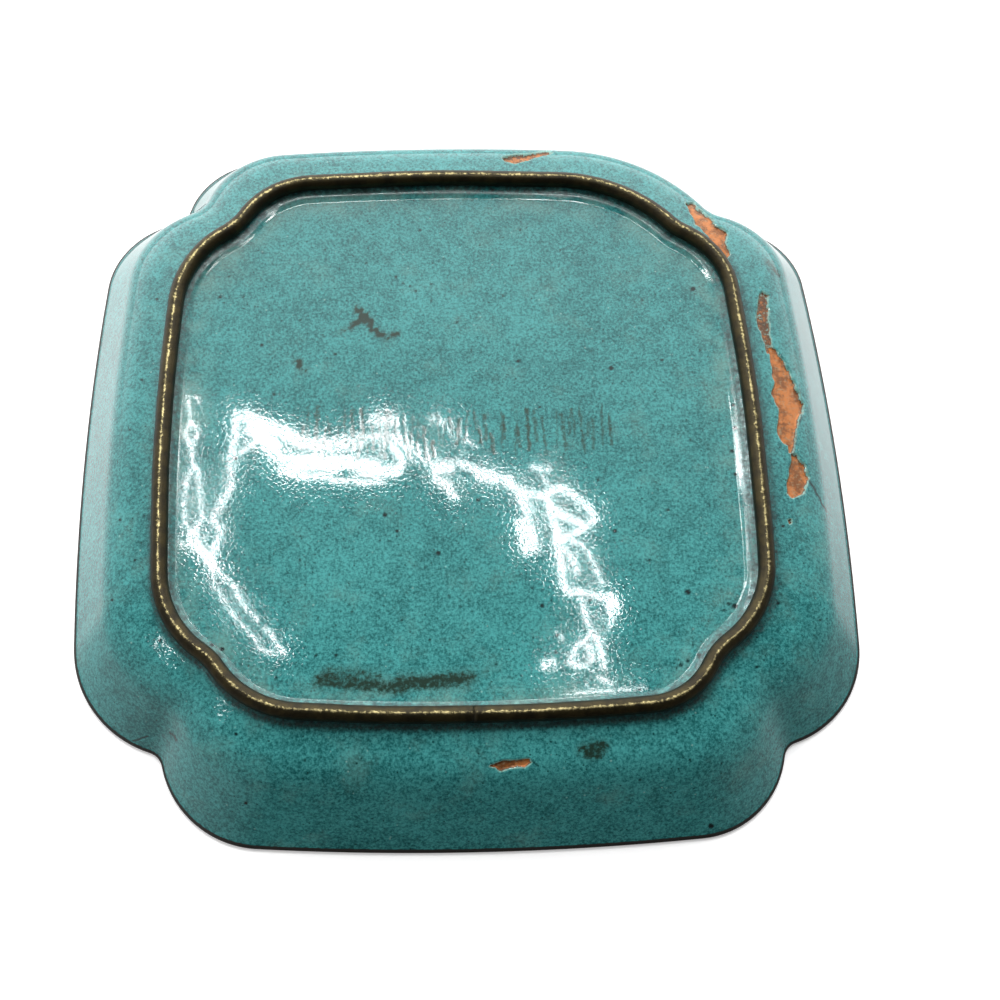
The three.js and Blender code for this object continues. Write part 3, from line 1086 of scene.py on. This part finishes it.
def face_finish():
    """The inside of the tray: a border, a lotus and a ground of cells, parted by thin brass lines."""
    look = looks()
    finish = Finish("cloisonne_face")
    place = finish.place()
    across, ahead, _ = finish.split(place)
    away = (across * across + ahead * ahead) ** 0.5
    square = (across ** 4 + ahead ** 4) ** 0.25
    turn = ahead.math("ARCTAN2", across) * 4
    petals = turn.math("COSINE").math("ABSOLUTE")
    flat = {"feature": "DISTANCE_TO_EDGE", "voronoi_dimensions": "2D"}
    ground = finish.cells(place, 230, **flat)
    band = finish.cells(place, 420, **flat)
    inner = away - petals * INNER_TIPS
    outer = away - turn.math("SINE").math("ABSOLUTE") * PETAL_TIPS
    grain = finish.noise(place, 3300, 2.0, 0.7)
    turquoise = finish.mix(grain.above(0.3, 0.7), look.enamel_dark, look.enamel_light)
    border = square.above(BORDER_INSIDE, BORDER_INSIDE + HAIR)
    wall = square.above(BORDER_OUTSIDE, BORDER_OUTSIDE + HAIR)
    colour = finish.mix(border * (1 - wall), turquoise, BLUE)
    colour = finish.mix(1 - outer.above(PETALS, PETALS + HAIR), colour, RED)
    colour = finish.mix(1 - inner.above(INNER_PETALS, INNER_PETALS + HAIR), colour, YELLOW)
    colour = finish.mix(1 - away.above(SEED_HEAD, SEED_HEAD + HAIR), colour, GREEN)
    brass = 0
    for edge, at in ((square, BORDER_INSIDE), (square, BORDER_OUTSIDE), (outer, PETALS),
                     (inner, INNER_PETALS), (away, SEED_HEAD)):
        line = 1 - (edge - at).math("ABSOLUTE").above(HAIR, HAIR * 2)
        brass = line.larger(brass)
    cells = (1 - ground.above(0.03, 0.055)) * outer.above(PETALS, PETALS + HAIR) * (1 - border)
    cells = cells.larger((1 - band.above(0.035, 0.06)) * border * (1 - wall))
    brass = brass.larger(cells)
    colour = finish.mix(brass, colour, BRASS)
    finish.set(Base_Color=colour, Metallic=brass, Roughness=brass * 0.2 + 0.1,
               Normal=finish.bump(brass + grain * 0.1, 0.00003))
    finish.shader.inputs["IOR"].default_value = 1.42
    return finish.material


def wire_finish():
    """Brown brass wire with a thin crown, lighter on top as rubbed wear and a painted highlight."""
    look = looks()
    finish = Finish("foot_brass")
    place = finish.place()
    streak = finish.noise(place, 2600, 3.0, 0.65)
    patina = finish.noise(place, 450, 4.0, 0.65)
    dark = finish.mix(patina.above(0.35, 0.65), finish.tint(look.wire, 0.4), look.wire)
    # The crown is lighter on top of the wire, as rubbed wear and as a painted highlight.
    crown = (finish.attribute("worn_and_lit") + streak * 1.1 + patina * 0.5 - 1.2).above(0.4, 0.75)
    colour = finish.mix(crown, dark, look.wire_crown_worn_and_lit)
    finish.set(Base_Color=colour, Metallic=crown * 0.2 + 0.75, Roughness=0.42 - crown * 0.12,
               Normal=finish.bump(streak + patina, 0.00004))
    return finish.material


def wire_path():
    """The centreline of the foot wire, from its joint at the front all the way round."""
    right, back, left, front = side_curves(1, 0)
    loop = np.concatenate((front, right[1:], back[1:], left[1:-1]))
    step = np.hypot(*np.diff(np.concatenate((loop, loop[:1])), axis=0).T)
    front_step = np.hypot(*np.diff(front, axis=0).T).sum()
    start = front_step * JOINT_SHARE / step.sum()
    closed = np.concatenate((loop, loop, loop[:1]))
    shares = (start + np.linspace(0, 1, WIRE_STEPS + 1)) / 2
    return along(closed, shares)


def lay_wire(bm):
    """Wraps a grid round the centreline and welds its long seam. The two ends stay apart."""
    size = sizes()
    radius = size.wire_diameter / 2
    path = wire_path()
    ahead = np.gradient(path, axis=0)
    ahead /= np.linalg.norm(ahead, axis=1)[:, None]
    ahead[0] = ahead[-1] = (ahead[1] + ahead[-2]) / 2
    bmesh.ops.create_grid(bm, x_segments=WIRE_STEPS, y_segments=WIRE_SIDES, size=1)
    worn_and_lit = bm.verts.layers.float.new("worn_and_lit")
    for vert in bm.verts:
        station = round((vert.co.x + 1) / 2 * WIRE_STEPS)
        turn = round((vert.co.y + 1) / 2 * WIRE_SIDES) / WIRE_SIDES * 2 * math.pi
        point = path[station]
        side = Vector((ahead[station][1], -ahead[station][0], 0))
        centre = Vector((point[0], point[1], size.seat_height + radius))
        centre += side * (noise.noise(centre * 90) * WIRE_WANDER)
        out = side * math.sin(turn) - Vector((0, 0, 1)) * math.cos(turn)
        thick = 1 - WIRE_UNEVEN * abs(noise.noise((centre + out * radius) * 420)) - WIRE_THINNER
        place = centre + out * radius * thick
        if station == 0:
            place += Vector((ahead[0][0], ahead[0][1], 0)) * JOINT_GAP
        if station == WIRE_STEPS:
            place -= Vector((ahead[0][0], ahead[0][1], 0)) * JOINT_GAP
        vert.co = place
        # The top of the wire is marked for the lighter crown: rubbed wear and painted highlight.
        vert[worn_and_lit] = float(smooth((out.z - 0.88) / 0.12))
    bmesh.ops.remove_doubles(bm, verts=bm.verts, dist=0.005 * MM)
    ends = [edge for edge in bm.edges if edge.is_boundary]
    bmesh.ops.holes_fill(bm, edges=ends, sides=0)
    bmesh.ops.recalc_face_normals(bm, faces=bm.faces)



class TRAY_OT_body(bpy.types.Operator):
    """Make the enamelled sheet"""

    bl_idname = "tray.body"
    bl_label = "Tray body"

    def execute(self, context):
        eye = Eye(context.scene.photo_view)
        bm = bmesh.new()
        lay_underside(bm)
        bm.normal_update()
        refine(bm, eye)
        emboss(bm, eye)
        turn_rim(bm)
        bake("tray_shell", bm, (enamel_finish(), edge_finish(), face_finish()),
             ("tray_body",))
        return {"FINISHED"}


class TRAY_OT_foot(bpy.types.Operator):
    """Make the foot wire"""

    bl_idname = "tray.foot"
    bl_label = "Foot wire"

    def execute(self, context):
        bm = bmesh.new()
        lay_wire(bm)
        bake("foot_ring", bm, (wire_finish(),), ("foot_wire",))
        return {"FINISHED"}


class TRAY_OT_stage(bpy.types.Operator):
    """Make the floor, the lights and the camera"""

    bl_idname = "tray.stage"
    bl_label = "Stage"

    def execute(self, context):
        scene = context.scene
        make_floor()
        make_backdrop()
        make_lights(scene)
        make_camera(scene)
        return {"FINISHED"}


def make_floor():
    """The pale floor, which the enamel doesn't mirror."""
    look = looks()
    finish = Finish("table")
    grain = finish.noise(finish.place(), 40)
    colour = finish.mix(grain.above(0.3, 0.7), finish.tint(look.table, 0.98), look.table)
    finish.set(Base_Color=colour, Roughness=0.6, Emission_Color=(1, 1, 1), Emission_Strength=0.3)
    bm = bmesh.new()
    bmesh.ops.create_grid(bm, x_segments=8, y_segments=8, size=FLOOR_HALF)
    floor = bake("table_top", bm, (finish.material,))
    floor.visible_glossy = False


def make_backdrop():
    """A pale round wall that only the camera sees."""
    finish = Finish("backdrop")
    grain = finish.noise(finish.place(), 4)
    finish.set(Emission_Color=finish.mix(grain.above(0.3, 0.7), (0.86, 0.87, 0.87), (0.93, 0.93, 0.93)),
               Base_Color=(0, 0, 0), Roughness=1.0, Emission_Strength=1.0)
    bm = bmesh.new()
    bmesh.ops.create_cone(bm, cap_ends=False, segments=128, radius1=BACKDROP_RADIUS,
                          radius2=BACKDROP_RADIUS, depth=BACKDROP_HEIGHT)
    wall = bake("backdrop", bm, (finish.material,))
    wall.visible_diffuse = wall.visible_glossy = wall.visible_shadow = False


def make_lights(scene):
    """The sky, bright behind the tray, and the lamp's tubes."""
    world = bpy.data.worlds.new("studio")
    scene.world = world
    world.use_nodes = True
    sky = Finish("studio_sky", world)
    across, ahead, up = sky.split(sky.node("ShaderNodeTexCoord", output="Generated"))
    above = up.above(-0.03, 0.06)
    back = ahead.above(0.16, 0.75) * SKY_BACK * above + ahead.above(0.1, 0.5) * SKY_LOW * (1 - above)
    left = (across * -1).above(0.1, 0.9) * SKY_LEFT
    right = across.above(0.3, 1.0) * SKY_RIGHT
    sky.set(Color=(1, 1, 1), Strength=back + left + right + SKY_REST)
    eye = Eye(scene.photo_view)
    for kind, slope, glints in (("base", 0, GLINTS), ("plateau", sizes().plateau_slope, PLATEAU_GLINTS)):
        for number, (width, *path) in enumerate(glints):
            for step, (start, end) in enumerate(zip(path, path[1:])):
                first, last = eye.mirrored(*start, slope), eye.mirrored(*end, slope)
                thick = width * (last - first).length / math.dist(start, end)
                strip_light(f"{kind}_tube_{number}_{step}", first, last, thick)


def strip_light(name, first, last, thick):
    """A thin straight tube of light from one place to another."""
    run = last - first
    length = run.length + thick * TUBE_OVERLAP
    data = bpy.data.lights.new(name, "AREA")
    data.shape = "RECTANGLE"
    data.size = length
    data.size_y = thick
    data.energy = LAMP_RADIANCE * math.pi * length * thick
    light = bpy.data.objects.new(name, data)
    middle = (first + last) / 2
    along_tube = run.normalized()
    facing = middle.normalized()
    facing = (facing - along_tube * facing.dot(along_tube)).normalized()
    turn = Matrix((along_tube, facing.cross(along_tube), facing)).transposed()
    light.matrix_world = Matrix.Translation(middle) @ turn.to_4x4()
    light.visible_camera = False
    bpy.context.scene.collection.objects.link(light)


def make_camera(scene):
    """The photo's camera and the plain view transform."""
    eye = Eye(scene.photo_view)
    data = bpy.data.cameras.new("photo_camera")
    data.sensor_width = 36
    data.lens = eye.focal / PHOTO * data.sensor_width
    data.shift_x = (PHOTO / 2 - eye.centre[0]) / PHOTO
    data.shift_y = (eye.centre[1] - PHOTO / 2) / PHOTO
    data.clip_start = 0.01
    camera = bpy.data.objects.new("photo_camera", data)
    turn = Matrix((eye.right, eye.up, eye.back)).transposed()
    camera.matrix_world = Matrix.Translation(eye.place) @ turn.to_4x4()
    scene.collection.objects.link(camera)
    scene.camera = camera
    scene.view_settings.view_transform = "Standard"


class TRAY_PT_panel(bpy.types.Panel):
    """The tray's pieces and sizes"""

    bl_idname = "TRAY_PT_panel"
    bl_label = "Enamel tray"
    bl_space_type = "VIEW_3D"
    bl_region_type = "UI"
    bl_category = "Tray"

    def draw(self, context):
        layout = self.layout
        for kind in PIECES:
            layout.operator(kind.bl_idname)
        for group in (context.scene.tray_sizes, context.scene.tray_looks, context.scene.photo_view):
            box = layout.box()
            for name in group.bl_rna.properties.keys():
                if name not in ("rna_type", "name"):
                    box.prop(group, name)


PIECES = (TRAY_OT_stage, TRAY_OT_body, TRAY_OT_foot)
CLASSES = (TraySizes, TrayLooks, PhotoView, *PIECES, TRAY_PT_panel)


def register():
    for kind in CLASSES:
        bpy.utils.register_class(kind)
    bpy.types.Scene.tray_sizes = bpy.props.PointerProperty(type=TraySizes)
    bpy.types.Scene.tray_looks = bpy.props.PointerProperty(type=TrayLooks)
    bpy.types.Scene.photo_view = bpy.props.PointerProperty(type=PhotoView)


def unregister():
    del bpy.types.Scene.photo_view
    del bpy.types.Scene.tray_looks
    del bpy.types.Scene.tray_sizes
    for kind in reversed(CLASSES):
        bpy.utils.unregister_class(kind)


def main():
    register()
    bpy.ops.tray.stage()
    bpy.ops.tray.body()
    bpy.ops.tray.foot()


if __name__ == "__main__":
    main()
